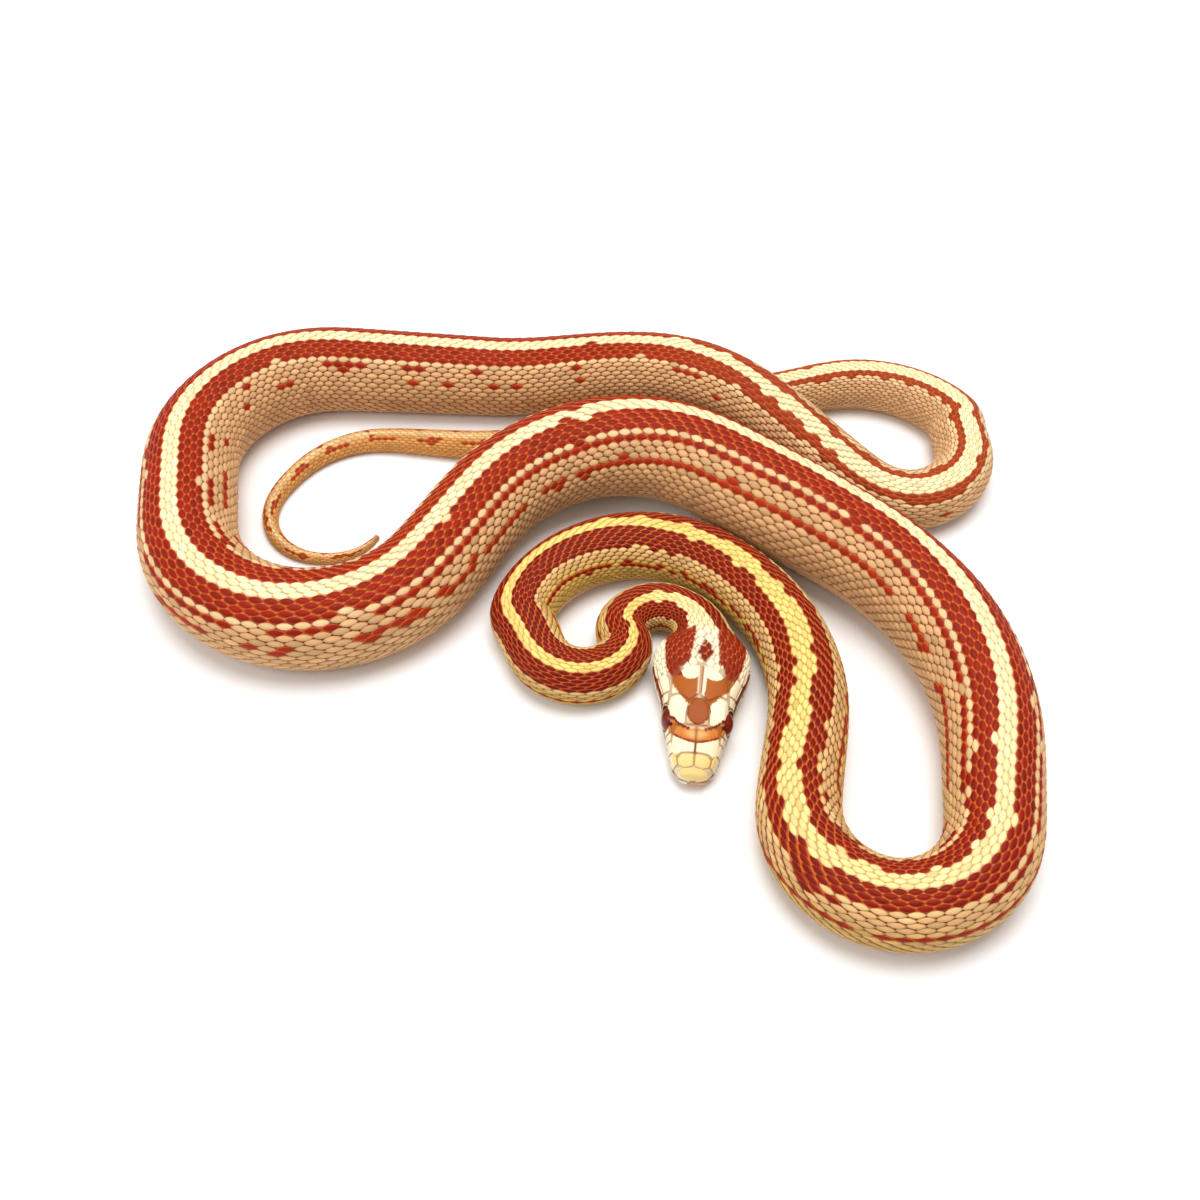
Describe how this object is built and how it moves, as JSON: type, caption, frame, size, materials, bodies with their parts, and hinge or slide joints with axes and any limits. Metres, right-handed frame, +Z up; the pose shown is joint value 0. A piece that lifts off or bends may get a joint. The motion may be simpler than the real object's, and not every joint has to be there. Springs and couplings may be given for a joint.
{
  "type": "corn snake",
  "caption": "Life-size still model of a striped albino corn snake lying in loose coils, head level in front, tail passing under its body.",
  "frame": {"origin": "middle of the resting snake's outline seen from above, on the floor it lies on", "axes": "+Z up, -Y the way the snout points, +X along the long loops to the snake's left-hand loop"},
  "size_m": [0.1481, 0.1207, 0.0195],
  "materials": {
    "scaled_skin": "satin scales",
    "tail_skin": "satin scales",
    "chin_skin": "satin scales",
    "eyes": "wet gloss"
  },
  "bodies": {
    "root": {"head": "scaled_skin", "neck": "scaled_skin", "fore_body_1": "scaled_skin", "fore_body_2": "scaled_skin", "fore_body_3": "scaled_skin", "mid_body_1": "scaled_skin", "mid_body_2": "scaled_skin", "mid_body_3": "scaled_skin", "mid_body_4": "scaled_skin", "mid_body_5": "scaled_skin", "hind_body_1": "scaled_skin", "hind_body_2": "scaled_skin", "hind_body_3": "scaled_skin", "hind_body_4": "scaled_skin", "hind_body_5": "scaled_skin", "tail_1": "tail_skin", "tail_2": "tail_skin", "tail_3": "tail_skin", "tail_tip": "tail_skin", "lower_jaw": "chin_skin", "eye_left": "eyes", "eye_right": "eyes"}
  },
  "joints": []
}
